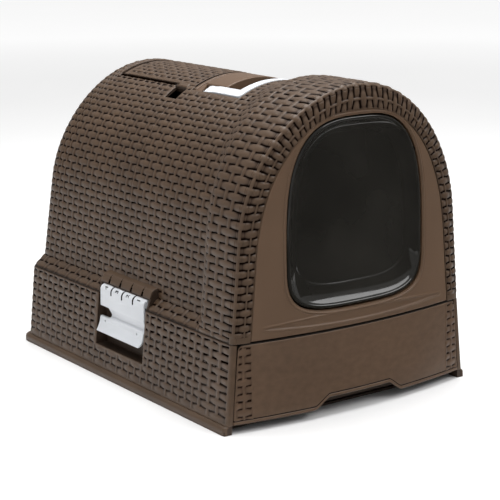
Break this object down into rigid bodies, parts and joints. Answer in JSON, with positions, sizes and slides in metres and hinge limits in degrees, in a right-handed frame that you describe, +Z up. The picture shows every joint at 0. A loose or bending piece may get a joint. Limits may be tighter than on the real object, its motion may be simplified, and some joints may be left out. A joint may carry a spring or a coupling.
{
  "type": "hooded cat litter box",
  "caption": "Arched hooded cat litter box with a woven-look shell, smoked swing door, pull-out litter drawer, side latches, carry handle and roof filter hatch.",
  "frame": {"origin": "bottom centre of the box's outer dimensions, on the surface it stands on", "axes": "+Z up, -Y towards the cat door and the drawer front, +X to the right of someone inside who looks towards the rear"},
  "size_m": [0.382, 0.5093, 0.3965],
  "materials": {
    "hood_plastic": "woven-look matte moulding",
    "panel_plastic": "fine matte texture",
    "tray_plastic": "fine matte texture",
    "inner_plastic": "plain matte",
    "white_plastic": "satin",
    "smoked_plastic": "smoked translucent gloss",
    "pin_steel": "bright wire",
    "charcoal_pad": "carbon-filled felt"
  },
  "bodies": {
    "housing": {"base_housing": "hood_plastic", "hood_shell": "hood_plastic", "front_panel": "panel_plastic", "door_pivot_left": "inner_plastic", "door_pivot_right": "inner_plastic", "latch_pin_left": "pin_steel", "latch_pin_right": "pin_steel", "handle_pin_left": "pin_steel", "handle_pin_right": "pin_steel", "handle_plate": "panel_plastic", "hatch_pin": "pin_steel", "filter_tray": "inner_plastic", "carbon_filter": "charcoal_pad"},
    "door": {"door_flap": "smoked_plastic"},
    "drawer": {"drawer_tray": "tray_plastic", "drawer_front": "panel_plastic"},
    "left_latch": {"latch_left": "white_plastic"},
    "right_latch": {"latch_right": "white_plastic"},
    "handle": {"carry_handle": "white_plastic"},
    "hatch": {"filter_hatch": "hood_plastic"}
  },
  "joints": [
    {"name": "drawer_slide", "type": "slide", "parent": "housing", "child": "drawer", "axis": [0, -1, 0], "range_m": [0, 0.3]},
    {"name": "door_swing", "type": "hinge", "parent": "housing", "child": "door", "pos_m": [0, -0.236, 0.31], "axis": [1, 0, 0], "range_deg": [-60, 65]},
    {"name": "left_latch_open", "type": "hinge", "parent": "housing", "child": "left_latch", "pos_m": [-0.171, 0.0055, 0.112], "axis": [0, 1, 0], "range_deg": [0, 100]},
    {"name": "right_latch_open", "type": "hinge", "parent": "housing", "child": "right_latch", "pos_m": [0.171, 0.0055, 0.112], "axis": [0, -1, 0], "range_deg": [0, 100]},
    {"name": "handle_lift", "type": "hinge", "parent": "housing", "child": "handle", "pos_m": [0, -0.013, 0.3633], "axis": [-1, 0, 0], "range_deg": [0, 90]},
    {"name": "hatch_open", "type": "hinge", "parent": "housing", "child": "hatch", "pos_m": [0, 0.1855, 0.3786], "axis": [-1, 0, 0], "range_deg": [0, 90]}
  ]
}
